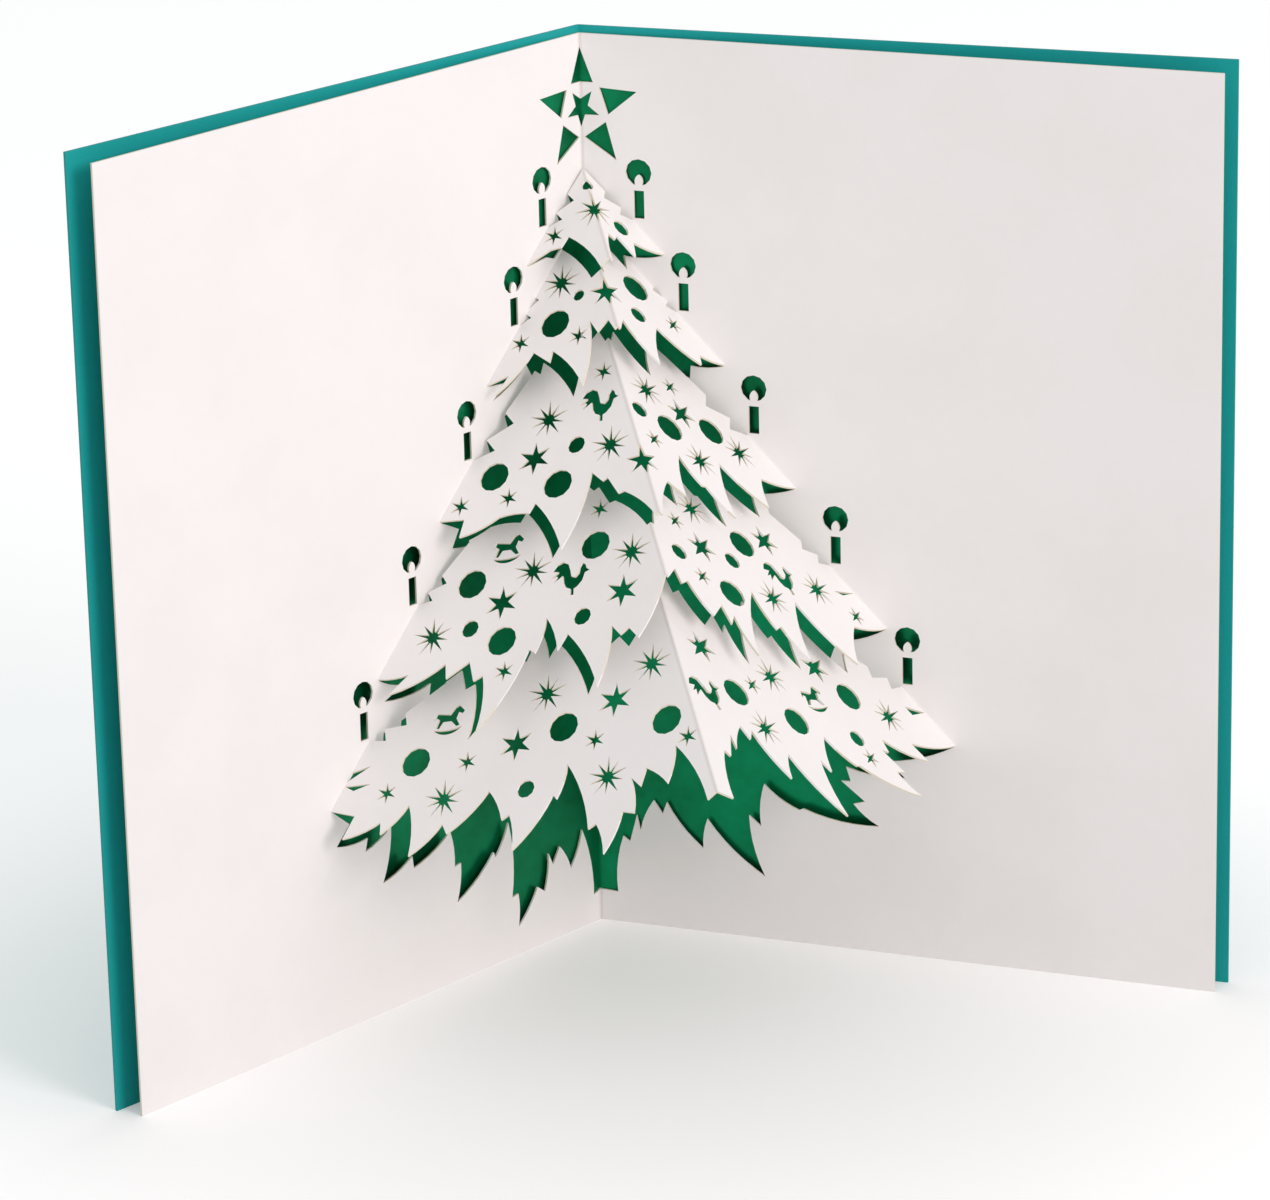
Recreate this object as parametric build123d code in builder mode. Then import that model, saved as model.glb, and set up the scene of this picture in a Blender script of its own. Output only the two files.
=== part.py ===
from build123d import *
import os
from math import atan, cos, radians, sin, tan

# Pop-up card, standing open: a folded cover, and a white card glued into it whose fir tree
# is cut and folded forward out of the same sheet. Millimetres and degrees, +Z up, open to -Y.

# Card
opening_angle = 111  # between the two halves of the open card
sheet_thickness = 0.4
side_margin = 50.4  # white card outside the widest bough
top_margin = 2.3  # white card above the star
cover_opening_angle = 115.5  # the cover opens wider than the white card, which it holds at the spine
cover_thickness = 0.5
cover_side_rim = 1.4  # cover reaching beyond the white card
cover_top_rim = 1.4
cover_fold_radius = 0.8

# Cut pattern of the white card, drawn flat: distance from the spine (left is negative) and
# height above the foot of the card, both in steps of the drawing grid
grid = 1.0
fold_angle = 45  # between the spine and every fold line of the tree
bough_curl = 0.056  # sagitta of a curved cut over its chord
shortest_curve = 6  # a cut shorter than this is straight
nick_places = (0.16, 0.43)  # along the cut above a fold, where twigs stand out
nick_depth = 0.14  # over the length of that cut
twig_step = 0.05

# Cut-out ornaments
ornament_turn = 20  # on the flat sheet, so that the ornaments stand upright on the folded tree
big_ball = 6
big_ball_sides = 12
small_ball = 3.6
small_ball_sides = 10
tiny_ball = 2.4
sparkle_rays = 10
sparkle_reach = 4.2
sparkle_short_reach = 3.6
sparkle_core = 1.15
asterisk_reach = 2.2
asterisk_core = 0.7
star_reach = 3.6
star_core = 1.35
candle_width = 2
candle_height = 5.3
candle_offset = 1.3  # from the start of the fold below it
candle_lift = 0.7
flame_disc = 5.1
flame_gap = 0.9  # paper left between candle and disc
flame_width = 1.6
spine_star_reach = 11.8
spine_star_base = 4.9  # from the centre to the foot of each of its points
spine_star_half_width = 2.65
spine_star_heart = 4
spine_star_heart_core = 1.6
spine_star_lift = 11.1  # its centre above the apex of the top tier

# The five tiers from the top. Each is held by two folds, which lie on lines that leave the
# spine at the apex. A fringe runs from the crease to the tip of the fold, notch and bough
# tip in turn. The recess is where the cut above the fold goes under the tier above.
tiers = [
    {
        "apex": 149.8,
        "fold": (9.95, 16),
        "recess": (-2, 150.5),
        "left fringe": [(0, 125.7), (2.1, 124.9), (6.4, 135.4), (8.3, 133.8), (10.5, 134.5)],
        "right fringe": [
            (0, 125.7), (0.6, 125.2), (1.5, 132.6), (3, 131.7), (3.7, 133.1), (7.4, 129.2), (7.9, 133.2),
        ],
        "slits": [],
        "big balls": [],
        "small balls": [(5.6, 135.9)],
        "tiny balls": [(0, 144.7)],
        "sparkles": [(0, 138.4)],
        "asterisks": [(-9, 137.2)],
        "stars": [],
        "cockerels": [],
        "horses": [],
    },
    {
        "apex": 141.1,
        "fold": (18.35, 27.6),
        "recess": (9.5, 134),
        "left fringe": [
            (0, 111.2), (0.6, 110.8), (1.3, 113.8), (3.9, 112.2), (4.7, 115.6), (9.5, 102.3), (13.2, 113.4),
            (14.4, 111.2), (16.9, 115.4), (26, 110.5), (22.6, 113.1),
        ],
        "right fringe": [
            (0, 111.2), (0.6, 110.8), (1.9, 113.7), (8.8, 105.5), (10.9, 115.8), (20.6, 110.5), (20.8, 113),
        ],
        "slits": [],
        "big balls": [(-11.3, 119.1), (8.2, 124.7)],
        "small balls": [(6.7, 117.1)],
        "tiny balls": [(-5.4, 122.6)],
        "sparkles": [(-8, 127.5)],
        "asterisks": [(-18.8, 118.9), (-7.6, 113.7), (15.9, 118.7)],
        "stars": [(0, 120.4)],
        "cockerels": [],
        "horses": [],
    },
    {
        "apex": 132,
        "fold": (31.85, 41.2),
        "recess": (13.5, 114),
        "left fringe": [
            (0, 67.7), (0.7, 67.5), (5.2, 76.3), (6.4, 76.4), (7.5, 81), (8.6, 80.8), (10.1, 83.8),
            (19.8, 71), (22.2, 83.8), (23.9, 82.3), (29.7, 84.8), (38.1, 85), (36.2, 88.3),
        ],
        "right fringe": [
            (0, 67.7), (0.7, 67.5), (4.7, 77.4), (8.7, 75.3), (10, 86), (14.2, 80.2), (15.2, 80.4),
            (20.9, 75), (20.8, 88.5), (31.4, 81.8), (31.6, 89.2),
        ],
        "slits": [],
        "big balls": [(-28.4, 94.1), (-17, 85.3), (9.8, 92.8), (21.3, 96.8)],
        "small balls": [(-11.5, 91.6), (2.8, 94.4)],
        "tiny balls": [],
        "sparkles": [(-15.3, 100.3), (-5.3, 87.8), (6.4, 100.9), (27.6, 94.1), (15.7, 87)],
        "asterisks": [(-36.3, 91.6), (-26.9, 87.9), (-2.6, 104.4), (4.5, 87.7), (13.4, 104.7)],
        "stars": [(-20, 93.4), (0, 81), (14.3, 98.3)],
        "cockerels": [(-5.1, 97.5)],
        "horses": [],
    },
    {
        "apex": 123.8,
        "fold": (47.6, 58.8),
        "recess": (34.5, 84),
        "left fringe": [
            (0, 55.1), (8.2, 45), (9.4, 48.1), (11.3, 47.5), (12.4, 50.3), (18.2, 39.3), (20.9, 53.5),
            (23.6, 51.1), (23.9, 59.1), (27.9, 53), (28.8, 54.4), (42.7, 43.1), (38.6, 54), (40.7, 53.9),
            (40.4, 58.4), (45.7, 57.4), (45, 60.6), (57.3, 60.4), (52.5, 62.4),
        ],
        "right fringe": [
            (0, 55.1), (0.5, 54.7), (2.8, 57.6), (3.6, 54.4), (5.4, 55.7), (9.9, 49), (12.8, 52.7),
            (14.2, 48.7), (15.4, 51.3), (19.1, 43.1), (22.4, 59.8), (26.5, 52.2), (27.8, 53.4),
            (33.4, 47.3), (33.9, 61.8), (46.7, 51.5), (49, 61.6),
        ],
        "slits": [[(52, 71), (46.3, 69.4), (48.6, 69.2)]],
        "big balls": [(-36.1, 74.6), (-33.4, 59.2), (-11.2, 69.1), (16.8, 57.2), (23.8, 72.1)],
        "small balls": [(-38.7, 65.3), (-17.3, 55.5), (5.4, 62.8), (19.6, 66.3)],
        "tiny balls": [],
        "sparkles": [(-46.2, 67.7), (-24.1, 70.6), (-5, 63.7), (12.4, 76.2), (28, 60.4), (41.5, 67.9)],
        "asterisks": [(-8.5, 76.3), (-34.5, 52.6), (6.9, 71), (9.9, 58.6), (50.6, 64.8)],
        "stars": [(-31.5, 67.3), (-8.7, 56.5), (12.1, 66.6), (30.5, 75.6)],
        "cockerels": [(-17.5, 64.7), (32.4, 66.8)],
        "horses": [(-27.6, 78)],
    },
    {
        "apex": 115.3,
        "fold": (61.5, 72.1),
        "recess": (44, 57.5),
        "left fringe": [
            (0, 6.3), (2, 5.6), (4.9, 19.8), (8.3, 13), (11.3, 18.3), (13.3, 15.2), (14.5, 17.8),
            (15.8, 10.5), (17.8, 12), (23.4, 5.5), (23.2, 12.3), (24.9, 12), (25.4, 27.3), (29.2, 21.4),
            (29.6, 22.6), (39.9, 15.6), (38.6, 23.2), (40.3, 22.9), (41.2, 30.2), (51.2, 25.9), (51.5, 28.4),
            (59.4, 25.4), (56.8, 35.9), (63.7, 32.9), (63, 35.4), (71.1, 36), (67.6, 39.5),
        ],
        "right fringe": [
            (0, 6.3), (3.8, 6.1), (5.1, 17.7), (6.5, 16.8), (8, 22.3), (8.7, 19.3), (11.5, 25.7),
            (13.3, 23.2), (14.2, 25.6), (21.5, 17), (22.4, 23.1), (34, 12.7), (30.9, 24.8), (33.3, 22.9),
            (34, 31.5), (41, 27), (41.8, 27.4), (57, 25.5), (51.9, 29.5), (54.2, 30.2), (49.5, 33.9), (51.4, 34),
            (50.5, 36.8), (62.2, 35.8), (58.7, 38.8),
        ],
        "slits": [
            [(-67.3, 49.1), (-62.1, 48.2), (-68, 47.4)],
            [(-68.1, 46.7), (-63.1, 44.5), (-66.7, 44.9)],
            [(65.7, 48.9), (60.3, 48.4), (61.9, 46.9)],
        ],
        "big balls": [(-53.5, 44.1), (-24.3, 35.4), (-5.2, 26), (13.1, 34.2), (27.6, 32.7), (44.7, 45)],
        "small balls": [(-34.3, 26.7), (43.4, 34.4)],
        "tiny balls": [],
        "sparkles": [
            (-50.1, 33.4), (-25.7, 44.1), (-5, 39.1), (-18.8, 20.6), (24.1, 42.1), (54.7, 43.9), (18.3, 27.6),
        ],
        "asterisks": [(-60.5, 40.8), (-43.9, 38.6), (-19.2, 29.4), (-2.3, 20.4), (18.2, 37.9), (45.6, 30.5)],
        "stars": [(-33.9, 37), (-13.5, 35.5), (7.1, 42.8), (37.5, 49.4)],
        "cockerels": [(5.4, 31)],
        "horses": [(-45.3, 49.2), (34.4, 40.5)],
    },
]

# Outlines of the two animals, about their own middles
cockerel_outline = [
    (-4.1, 2.2), (-3.3, 3.4), (-2, 3.9), (-0.8, 3.3), (-0.2, 1.7), (0.1, 0.5), (0.9, 0.2), (1.6, 1),
    (1.7, 2.2), (2.1, 3), (2.8, 2.6), (3.1, 1.7), (3.9, 1.2), (2.9, 0.8), (2.5, -0.8), (1.6, -1.9),
    (0.9, -2.3), (1, -3.6), (0.3, -3.6), (0.2, -2.2), (-0.8, -1.7), (-1.4, -0.6), (-1.7, 0.9),
    (-3.5, -0.4), (-2.9, 1), (-4, 0.7), (-2.7, 1.9),
]
horse_outline = [
    (-3.2, 0.3), (-2.7, 1.9), (-1.7, 1.7), (0.1, 1.3), (1.1, 2.7), (1.9, 3), (3.2, 1.6), (2.8, 1.1),
    (2, 1.5), (1.6, 0.2), (2.4, -1.3), (1.7, -1.4), (0.6, -0.2), (-1.1, -0.1), (-1.9, -1.4),
    (-2.6, -1.3), (-2.1, 0.6), (-2.6, 0.9),
]
rocker_span = 6
rocker_depth = 1.3
rocker_width = 0.9
rocker_drop = 1.6

# Sizes that follow from the pattern
foot_tier = tiers[-1]
panel_width = foot_tier["fold"][1] * grid + side_margin
star_height = tiers[0]["apex"] * grid + spine_star_lift
sheet_height = star_height + spine_star_reach + top_margin
lap = 2 * sheet_thickness  # spare card past the spine, trimmed to the mitre of the fold

# Directions of the folded card
half_open = radians(opening_angle / 2)
fold_tilt = radians(fold_angle)
lean = 2 * atan(tan(fold_tilt) * cos(half_open))  # of the tree's crease from the vertical
crease_up = Vector(0, sin(lean), cos(lean))
upright = Vector(0, 0, 1)

# The spine stands so that the card's box is centred front to back
half_cover = radians(cover_opening_angle / 2)
crease_length = (foot_tier["apex"] - foot_tier["left fringe"][0][1]) * grid
sheet_corner = sheet_thickness / 2 / sin(half_open)  # from the middle of the fold to its corner
corner_cut = cover_fold_radius * (1 / sin(half_cover) - 1)
back_reach = sheet_corner + cover_thickness / sin(half_cover) - corner_cut
spine = Vector(0, (crease_length * sin(lean) - back_reach) / 2, 0)

left = -1
right = 1


def panel_across(side):
    return Vector(sin(half_open), -side * cos(half_open), 0)


def tree_across(side):
    fold_line = panel_across(side) * side * sin(fold_tilt) - upright * cos(fold_tilt)
    return (fold_line + crease_up * cos(fold_tilt)) * (side / sin(fold_tilt))


def panel_plane(side):
    across = panel_across(side)
    return Plane(origin=spine, x_dir=across, z_dir=across.cross(upright))


def tree_plane(side, tier):
    across = tree_across(side)
    foot = spine + (upright - crease_up) * (tier["apex"] * grid)
    return Plane(origin=foot, x_dir=across, z_dir=across.cross(crease_up))


def fold_lap():
    # Each side of a fold runs this far past the fold line, so that the outer faces meet
    turn = panel_plane(right).z_dir.get_angle(tree_plane(right, foot_tier).z_dir)
    return sheet_thickness / 2 * tan(radians(turn) / 2)


def on_fold(tier, distance):
    # Point of a tier's fold line on the flat sheet, at a distance from the spine
    return Vector(distance, tier["apex"] - distance / tan(fold_tilt)) * grid


def on_side(points, side):
    return [Vector(side * u, v) * grid for u, v in points]


def ray_outline(rays, reach, short_reach, core):
    # Star with long and short rays in turn, and a corner at the core between each two
    step = 180 / rays
    reaches = [reach, core, short_reach, core]
    corners = [(reaches[number % 4], radians(number * step)) for number in range(2 * rays)]
    return [(length * sin(turn), length * cos(turn)) for length, turn in corners]


with BuildSketch() as big_hole:
    RegularPolygon(big_ball / 2, big_ball_sides)

with BuildSketch() as small_hole:
    RegularPolygon(small_ball / 2, small_ball_sides)

with BuildSketch() as tiny_hole:
    RegularPolygon(tiny_ball / 2, small_ball_sides)

with BuildSketch() as sparkle:
    Polygon(*ray_outline(sparkle_rays, sparkle_reach, sparkle_short_reach, sparkle_core), align=None)

with BuildSketch() as asterisk:
    Polygon(*ray_outline(6, asterisk_reach, asterisk_reach, asterisk_core), align=None)

with BuildSketch() as star:
    Polygon(*ray_outline(6, star_reach, star_reach, star_core), align=None)

with BuildSketch() as cockerel:
    Polygon(*cockerel_outline, align=None)

with BuildSketch() as rocking_horse:
    Polygon(*horse_outline, align=None)
    heel = Vector(-rocker_span / 2, -rocker_drop)
    toe = Vector(rocker_span / 2, -rocker_drop)
    with BuildLine():
        SagittaArc(heel, toe, -rocker_depth)
        SagittaArc(toe, heel, rocker_depth - rocker_width)
    make_face()

with BuildSketch() as candle:
    disc_foot = candle_height + flame_gap
    disc_centre = disc_foot + flame_disc / 2
    with Locations((0, candle_height / 2)):
        Rectangle(candle_width, candle_height)
    with Locations((0, disc_centre)):
        RegularPolygon(flame_disc / 2, big_ball_sides)
    # The flame is a tongue of paper left standing in the disc
    with BuildLine():
        tongue_foot = Vector(0, disc_foot - flame_gap / 2)
        tongue_tip = Vector(0, disc_centre - flame_width / 4)
        ThreePointArc(tongue_foot, (flame_width / 2, disc_foot + flame_width / 2), tongue_tip)
        ThreePointArc(tongue_tip, (-flame_width / 2, disc_foot + flame_width / 2), tongue_foot)
    make_face(mode=Mode.SUBTRACT)

with BuildSketch() as spine_star:
    Polygon(*ray_outline(5, -spine_star_heart, -spine_star_heart, -spine_star_heart_core), align=None)
    with PolarLocations(0, 5, start_angle=90):
        Polygon(
            (spine_star_reach, 0),
            (spine_star_base, spine_star_half_width),
            (spine_star_base, -spine_star_half_width),
            align=None,
        )


def tier_outline(tier, side, mode):
    # Flat sheet between a tier's fold line and its fringe, with the spare card past the spine
    fringe = tier["left fringe"] if side == left else tier["right fringe"]
    tip = on_fold(tier, tier["fold"][1])
    points = on_side(fringe, side) + [Vector(side * tip.X, tip.Y)]
    apex = Vector(0, tier["apex"]) * grid
    spare = Vector(-side * lap, 0)
    with BuildLine() as outline:
        for number, (start, end) in enumerate(zip(points, points[1:])):
            chord = (end - start).length
            if chord < shortest_curve:
                Line(start, end)
            else:
                turn = side if number % 2 else -side
                SagittaArc(start, end, turn * bough_curl * chord)
        Polyline(points[-1], apex, apex + spare, points[0] + spare, points[0])
    make_face(outline.edges(), mode=mode)


def card_above_fold(tier, side, mode):
    # Card between the fold line and the cut from the start of the fold up to the recess. It
    # stays on the panel, and the cut leaves twigs on the tier.
    start = on_fold(tier, tier["fold"][0])
    recess = Vector(*tier["recess"]) * grid
    run = recess - start
    inward = Vector(run.Y, -run.X) * -1
    edge = [start]
    for place in nick_places:
        edge.append(start + run * place + inward * nick_depth)
        edge.append(start + run * (place + twig_step))
    over = tier["apex"] * grid + lap
    outside = start + Vector(lap, 0)
    edge += [recess, Vector(recess.X, over), Vector(outside.X, over), outside]
    Polygon(*[(side * point.X, point.Y) for point in edge], align=None, mode=mode)


def fold_strip(tier, side, width):
    # Narrow strip along a fold, outside the fold line for a positive width
    across = Vector(cos(fold_tilt), sin(fold_tilt)) * width
    start, tip = [on_fold(tier, distance) for distance in tier["fold"]]
    corners = [start, tip, tip + across, start + across]
    Polygon(*[(side * point.X, point.Y) for point in corners], align=None)


def cut_ornaments(tier, side):
    cutters = {
        "big balls": big_hole.sketch,
        "small balls": small_hole.sketch,
        "tiny balls": tiny_hole.sketch,
        "sparkles": sparkle.sketch,
        "asterisks": asterisk.sketch,
        "stars": star.sketch,
        "cockerels": cockerel.sketch,
        "horses": rocking_horse.sketch,
    }
    for kind, cutter in cutters.items():
        places = [(u * grid, v * grid) for u, v in tier[kind] if u * side >= 0]
        if places:
            turns = [side * ornament_turn if place[0] else 0 for place in places]
            with Locations(*[Location(place, turn) for place, turn in zip(places, turns)]):
                add(cutter, mode=Mode.SUBTRACT)
    for slit in tier["slits"]:
        if slit[0][0] * side > 0:
            Polygon(*[Vector(u, v) * grid for u, v in slit], align=None, mode=Mode.SUBTRACT)


def sheet_half(side):
    # One panel of the white card and its half of every tier, mitred at the spine and the crease
    with BuildPart() as half:
        with BuildSketch(panel_plane(side)):
            with Locations((side * (panel_width - lap) / 2, sheet_height / 2)):
                Rectangle(panel_width + lap, sheet_height)
            for tier in reversed(tiers):
                tier_outline(tier, side, Mode.SUBTRACT)
                card_above_fold(tier, side, Mode.ADD)
            for tier in tiers:
                fold_strip(tier, side, -fold_lap())
            stems = [on_fold(tier, tier["fold"][0]) for tier in tiers]
            with Locations(*[(side * (stem.X + candle_offset), stem.Y + candle_lift) for stem in stems]):
                add(candle.sketch, mode=Mode.SUBTRACT)
            with Locations((0, star_height)):
                add(spine_star.sketch, mode=Mode.SUBTRACT)
        for number, tier in enumerate(tiers):
            with BuildSketch(tree_plane(side, tier)):
                tier_outline(tier, side, Mode.ADD)
                if number > 0:
                    tier_outline(tiers[number - 1], side, Mode.SUBTRACT)
                card_above_fold(tier, side, Mode.SUBTRACT)
                fold_strip(tier, side, fold_lap())
                cut_ornaments(tier, side)
        extrude(amount=sheet_thickness / 2, both=True, clean=False)
        split(bisect_by=Plane.YZ, keep=Keep.TOP if side == right else Keep.BOTTOM)
    return half.part


with BuildPart() as pop_up_sheet:
    add(sheet_half(left))
    add(sheet_half(right))
pop_up_sheet.part.label = "pop_up_sheet"

# The cover holds the white card by its spine and stands on the same foot
cover_width = panel_width + cover_side_rim
cover_height = sheet_height + cover_top_rim
cover_across = Vector(sin(half_cover), -cos(half_cover), 0)
cover_inside = Plane(
    origin=spine + Vector(0, sheet_corner, 0), x_dir=cover_across, z_dir=cover_across.cross(upright)
)
with BuildPart() as cover:
    with BuildSketch(cover_inside):
        with Locations(((cover_width - lap) / 2, cover_height / 2)):
            Rectangle(cover_width + lap, cover_height)
    extrude(amount=-cover_thickness)
    split(bisect_by=Plane.YZ, keep=Keep.TOP)
    mirror(about=Plane.YZ)
    fillet(cover.edges().filter_by(Axis.Z).sort_by(Axis.Y)[-1], cover_fold_radius)
cover.part.label = "cover"

os.makedirs("parts", exist_ok=True)
export_step(pop_up_sheet.part, "parts/pop_up_sheet.step")
export_step(cover.part, "parts/cover.step")
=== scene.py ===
import math

import bpy
from mathutils import Matrix, Vector

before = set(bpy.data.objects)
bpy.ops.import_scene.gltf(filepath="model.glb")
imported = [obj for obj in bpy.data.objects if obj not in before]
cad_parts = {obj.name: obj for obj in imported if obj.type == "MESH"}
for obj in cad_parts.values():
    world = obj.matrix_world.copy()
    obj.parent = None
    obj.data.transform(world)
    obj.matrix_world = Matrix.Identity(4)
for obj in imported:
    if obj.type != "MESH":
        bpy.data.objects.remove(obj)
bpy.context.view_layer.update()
print("frame loaded:", ", ".join(sorted(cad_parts)))


class Wire:
    # a node socket that can be used in plain expressions, each of which adds a Math node
    def __init__(self, tree, socket=None):
        self.tree = tree
        self.socket = socket

    def node(self, kind, settings, sockets, output=0):
        made = self.tree.nodes.new(kind)
        for name, value in settings.items():
            setattr(made, name, value)
        for name, value in sockets.items():
            if isinstance(value, Wire):
                self.tree.links.new(value.socket, made.inputs[name])
            else:
                made.inputs[name].default_value = value
        return Wire(self.tree, made.outputs[output] if made.outputs else None)

    def calc(self, operation, *values):
        return self.node("ShaderNodeMath", {"operation": operation}, dict(enumerate(values)))

    def __add__(self, other):
        return self.calc("ADD", self, other)

    def __sub__(self, other):
        return self.calc("SUBTRACT", self, other)

    def __rsub__(self, other):
        return self.calc("SUBTRACT", other, self)

    def __mul__(self, other):
        return self.calc("MULTIPLY", self, other)

    def __gt__(self, other):
        return self.calc("GREATER_THAN", self, other)

    def __lt__(self, other):
        return self.calc("LESS_THAN", self, other)

    def __abs__(self):
        return self.calc("ABSOLUTE", self)

    __radd__ = __add__
    __rmul__ = __mul__

    def most(self, other):
        return self.calc("MAXIMUM", self, other)

    def rise(self, low, high):
        # 0 below low, 1 above high, smooth between them
        sockets = {"Value": self, "From Min": low, "From Max": high}
        return self.node("ShaderNodeMapRange", {"interpolation_type": "SMOOTHSTEP"}, sockets)

    def noise(self, place, scale, detail):
        sockets = {"Vector": place, "Scale": scale, "Detail": detail}
        return self.node("ShaderNodeTexNoise", {}, sockets)

    def blend(self, amount, first, second):
        # a Mix node's colour sockets are its inputs 6 and 7 and its output 2
        sockets = {0: amount, 6: first, 7: second}
        return self.node("ShaderNodeMix", {"data_type": "RGBA"}, sockets, output=2)


def startMaterial(name):
    material = bpy.data.materials.new(name)
    material.use_nodes = True
    material.node_tree.nodes.clear()
    return material, Wire(material.node_tree)


def endMaterial(wire, base, roughness, bump, specular, metallic=0):
    sockets = {"Base Color": base, "Roughness": roughness, "Metallic": metallic, "Normal": bump}
    sockets["Specular IOR Level"] = specular
    surface = wire.node("ShaderNodeBsdfPrincipled", {}, sockets)
    wire.node("ShaderNodeOutputMaterial", {}, {"Surface": surface})


def objectPlace(wire):
    return wire.node("ShaderNodeTexCoord", {}, {}, output="Object")


def faceNormal(wire):
    return wire.node("ShaderNodeNewGeometry", {}, {}, output="True Normal")


def along(wire, vector, axis):
    return wire.node("ShaderNodeSeparateXYZ", {}, {"Vector": vector}, output=axis)


def facing(wire, directions):
    # how squarely a face looks along the nearest of some directions, either way round
    normal = faceNormal(wire)
    best = None
    for direction in directions:
        sockets = {0: normal, 1: direction}
        turned = wire.node("ShaderNodeVectorMath", {"operation": "DOT_PRODUCT"}, sockets, output="Value")
        best = abs(turned) if best is None else best.most(abs(turned))
    return best


def cardGrain(wire, place, look):
    # the card's fibres, the cloudy mix of its two tones, and its tooth as a bump
    fibre = wire.noise(place, look["fibreScale"], look["fibreDetail"])
    tooth = wire.noise(place, look["toothScale"], look["toothDetail"])
    mottle = wire.noise(place, look["mottleScale"], look["mottleDetail"]).rise(*look["mottleRange"])
    tone = mottle * look["mottleShare"] + fibre * (1 - look["mottleShare"])
    height = tooth * look["toothShare"] + fibre * (1 - look["toothShare"])
    sockets = {"Strength": look["toothStrength"], "Distance": look["toothDepth"], "Height": height}
    return fibre, tone, wire.node("ShaderNodeBump", {}, sockets)


def rgb(red, green, blue):
    # screen colour to the shader's linear colour
    def linear(level):
        level /= 255
        return level / 12.92 if level <= 0.04045 else ((level + 0.055) / 1.055) ** 2.4

    return (*(linear(level) for level in (red, green, blue)), 1)


white = (1, 1, 1, 1)

# white pop-up sheet
whiteCard = {
    "halfOpen": math.radians(55.5),
    "face": rgb(248, 245, 244),
    "mottle": rgb(243, 240, 238),
    "cutEdge": rgb(232, 224, 204),
    "edgeFacing": 0.985,  # a face turned further than this from every panel and tier is a cut edge
    # painted shade: a darker score line along the spine and the tiers' middle crease, where x is near 0,
    # stands in for the shade of the folds
    "foldShade": rgb(226, 220, 217),
    "foldShadeWidth": 0.0006,
    "foldShadeShare": 0.8,
    "fibreScale": 420,
    "fibreDetail": 4,
    "mottleScale": 45,
    "mottleDetail": 3,
    "mottleRange": (0.35, 0.7),
    "mottleShare": 0.6,
    "toothScale": 1500,
    "toothDetail": 3,
    "toothShare": 0.5,
    "toothDepth": 0.00006,
    "toothStrength": 0.35,
    "roughness": 0.72,
    "fibreRoughness": 0.14,
    "specular": 0.3,
}


def whiteCardMaterial(look):
    material, wire = startMaterial("whiteCard")
    place = objectPlace(wire)
    across = math.cos(look["halfOpen"])
    away = math.sin(look["halfOpen"])
    # a tier's middle crease leans by this angle, and its halves slope down from it
    lean = 2 * math.atan(across)
    panelOut = Vector((away, -across, 0))
    creaseUp = Vector((0, math.sin(lean), math.cos(lean)))
    slope = (panelOut - Vector((0, 0, 1)) + creaseUp).cross(creaseUp).normalized()
    faces = [
        (across, -away, 0),
        (-across, -away, 0),
        tuple(slope),
        (-slope.x, slope.y, slope.z),
    ]
    cutEdge = 1 - (facing(wire, faces) > look["edgeFacing"])
    # painted shade along the folds at x near 0, drawn as a darker score line
    foldShade = 1 - abs(along(wire, place, "X")).rise(0, look["foldShadeWidth"])
    fibre, tone, bump = cardGrain(wire, place, look)
    base = wire.blend(tone, look["face"], look["mottle"])
    base = wire.blend(foldShade * look["foldShadeShare"], base, look["foldShade"])
    base = wire.blend(cutEdge, base, look["cutEdge"])
    roughness = look["roughness"] + fibre * look["fibreRoughness"]
    endMaterial(wire, base, roughness, bump, look["specular"])
    return material


# cover, green inside a teal border
coverCard = {
    "halfOpen": math.radians(57.75),
    "border": rgb(26, 166, 164),
    "borderDeep": rgb(24, 160, 158),
    "lining": rgb(4, 140, 92),
    "liningDeep": rgb(2, 92, 52),
    "cutEdge": rgb(60, 150, 148),
    "cutEdgeShare": 0.6,
    "edgeFacing": 0.985,
    "insideFacing": -0.1,  # inner faces look forward, so their normal's Y is below this
    "sideBorder": 0.112,
    "topBorder": 0.1722,
    "footBorder": 0.0022,
    "fibreScale": 520,
    "fibreDetail": 4,
    "mottleScale": 60,
    "mottleDetail": 3,
    "mottleRange": (0.3, 0.72),
    "mottleShare": 0.55,
    "toothScale": 1300,
    "toothDetail": 3,
    "toothShare": 0.5,
    "toothDepth": 0.00005,
    "toothStrength": 0.3,
    "borderRoughness": 0.55,
    "liningRoughness": 0.26,
    "liningSheen": 0.65,
    "fibreRoughness": 0.08,
    "specular": 0.18,
}


def coverCardMaterial(look):
    material, wire = startMaterial("coverCard")
    place = objectPlace(wire)
    across = math.cos(look["halfOpen"])
    away = math.sin(look["halfOpen"])
    faces = [(across, -away, 0), (-across, -away, 0), (0, 1, 0)]
    cutEdge = 1 - (facing(wire, faces) > look["edgeFacing"])
    inside = along(wire, faceNormal(wire), "Y") < look["insideFacing"]
    height = along(wire, place, "Z")
    reach = abs(along(wire, place, "X")) * (1 / away)  # along the panel from the spine
    bordered = (reach > look["sideBorder"]).most(height > look["topBorder"])
    bordered = bordered.most(height < look["footBorder"])
    lining = inside * (1 - bordered)
    fibre, tone, bump = cardGrain(wire, place, look)
    border = wire.blend(tone, look["border"], look["borderDeep"])
    green = wire.blend(tone, look["lining"], look["liningDeep"])
    base = wire.blend(lining, border, green)
    base = wire.blend(cutEdge * look["cutEdgeShare"], base, look["cutEdge"])
    smoother = look["liningRoughness"] - look["borderRoughness"]
    roughness = look["borderRoughness"] + lining * smoother + fibre * look["fibreRoughness"]
    endMaterial(wire, base, roughness, bump, look["specular"], lining * look["liningSheen"])
    return material


def dress(nodeName, material):
    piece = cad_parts[nodeName]
    for slot in piece.material_slots:
        slot.material = material
    print("dressed", nodeName)


dress("pop_up_sheet", whiteCardMaterial(whiteCard))
dress("cover", coverCardMaterial(coverCard))

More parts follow.
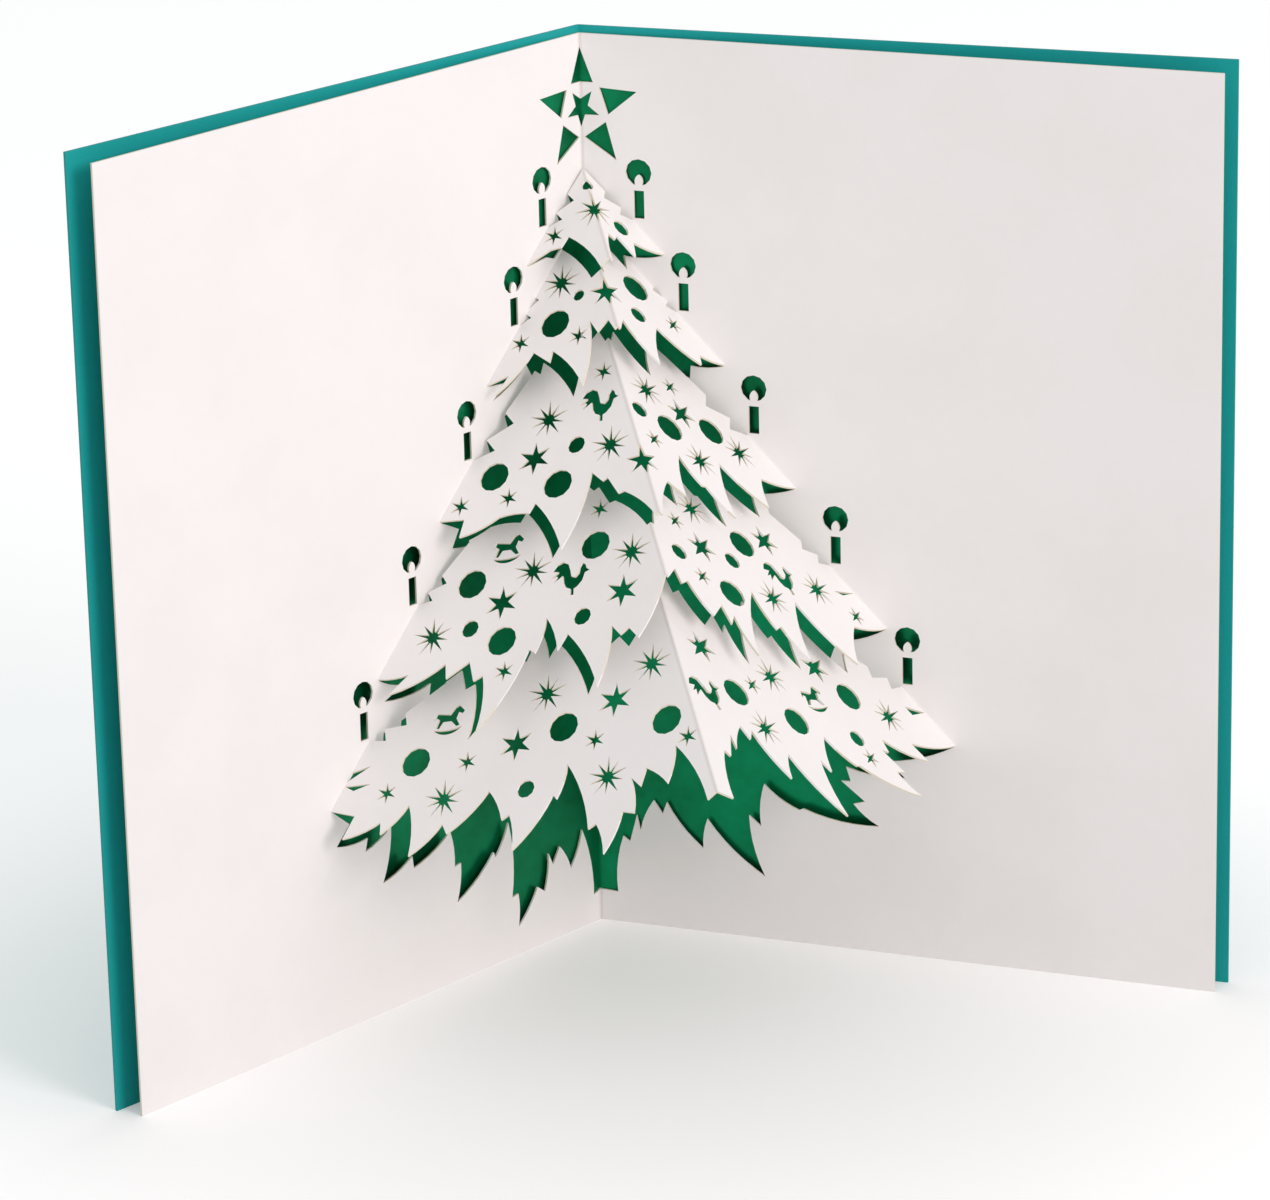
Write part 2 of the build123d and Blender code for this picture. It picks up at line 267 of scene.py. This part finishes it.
# floor
floorLook = {
    "size": 8,
    "tone": rgb(244, 243, 243),
    "glow": 0.38,  # lifts the floor to white where it is seen
    "paintedShadeGlow": 0.45,  # painted shade: share of the glow kept under the card, which paints the floor darker around it
    "paintedShadeReach": (0.05, 0.2),
}


def seenDirectly(wire):
    # camera, mirror and see-through rays, which show the pale background
    kinds = ("Is Camera Ray", "Is Glossy Ray", "Is Transmission Ray")
    camera, glossy, through = [wire.node("ShaderNodeLightPath", {}, {}, output=kind) for kind in kinds]
    return camera.most(glossy).most(through)


def makeFloor(look):
    bpy.ops.object.select_all(action="DESELECT")
    bpy.ops.mesh.primitive_plane_add(size=look["size"])
    floor = bpy.context.object
    floor.name = "floor"
    material, wire = startMaterial("paleFloor")
    matt = wire.node("ShaderNodeBsdfDiffuse", {}, {"Color": look["tone"]})
    glow = wire.node("ShaderNodeEmission", {}, {"Color": white, "Strength": look["glow"]})
    pale = wire.node("ShaderNodeAddShader", {}, {0: matt, 1: glow})
    sockets = {0: objectPlace(wire)}
    apart = wire.node("ShaderNodeVectorMath", {"operation": "LENGTH"}, sockets, output="Value")
    # painted shade: the floor keeps less glow near the card, so it is painted darker there
    amount = look["paintedShadeGlow"] + (1 - look["paintedShadeGlow"]) * apart.rise(*look["paintedShadeReach"])
    sockets = {0: seenDirectly(wire) * amount, 1: matt, 2: pale}
    mixed = wire.node("ShaderNodeMixShader", {}, sockets)
    wire.node("ShaderNodeOutputMaterial", {}, {"Surface": mixed})
    floor.data.materials.append(material)
    print("floor laid")


makeFloor(floorLook)

# light
lightLook = {
    "sky": 0.62,
    "skyTone": (0.965, 0.995, 1, 1),
    "keyPlace": (0.85, -1.42, 0.85),
    "keyAim": (0, 0, 0.07),
    "keySize": 0.7,
    "keyPower": 13.8,
    "keyTone": (1, 0.895, 0.89),
}


def makeLight(look):
    world = bpy.data.worlds.new("studio")
    world.use_nodes = True
    world.node_tree.nodes.clear()
    wire = Wire(world.node_tree)
    sky = wire.node("ShaderNodeBackground", {}, {"Color": look["skyTone"], "Strength": look["sky"]})
    pale = wire.node("ShaderNodeBackground", {}, {"Color": white, "Strength": 1})
    mixed = wire.node("ShaderNodeMixShader", {}, {0: seenDirectly(wire), 1: sky, 2: pale})
    wire.node("ShaderNodeOutputWorld", {}, {"Surface": mixed})
    bpy.context.scene.world = world
    bpy.ops.object.light_add(type="AREA", location=look["keyPlace"])
    key = bpy.context.object
    key.name = "keyLight"
    key.data.energy = look["keyPower"]
    key.data.size = look["keySize"]
    key.data.color = look["keyTone"]
    turn = (Vector(look["keyAim"]) - key.location).to_track_quat("-Z", "Y")
    key.rotation_euler = turn.to_euler()
    print("lights set")


makeLight(lightLook)

# camera, solved from the photo's corners and folds
cameraLook = {
    "place": (-0.23219, -0.96713, 0.41124),
    "azimuth": math.radians(-13.343),
    "elevation": math.radians(18.43),
    "roll": math.radians(-1.313),
    "focalPixels": 5769.8,
    "imageWidth": 1270,
    "sensor": 36,
    "clipStart": 0.01,
}


def makeCamera(look):
    bpy.ops.object.camera_add()
    camera = bpy.context.object
    camera.name = "photoCamera"
    turn = Matrix.Rotation(look["azimuth"], 4, "Z")
    turn @= Matrix.Rotation(math.pi / 2 - look["elevation"], 4, "X")
    turn @= Matrix.Rotation(look["roll"], 4, "Z")
    camera.matrix_world = Matrix.Translation(look["place"]) @ turn
    camera.data.sensor_fit = "HORIZONTAL"
    camera.data.sensor_width = look["sensor"]
    camera.data.lens = look["focalPixels"] / look["imageWidth"] * look["sensor"]
    camera.data.clip_start = look["clipStart"]
    bpy.context.scene.camera = camera
    print("camera placed")


makeCamera(cameraLook)

bpy.context.scene.view_settings.view_transform = "Standard"
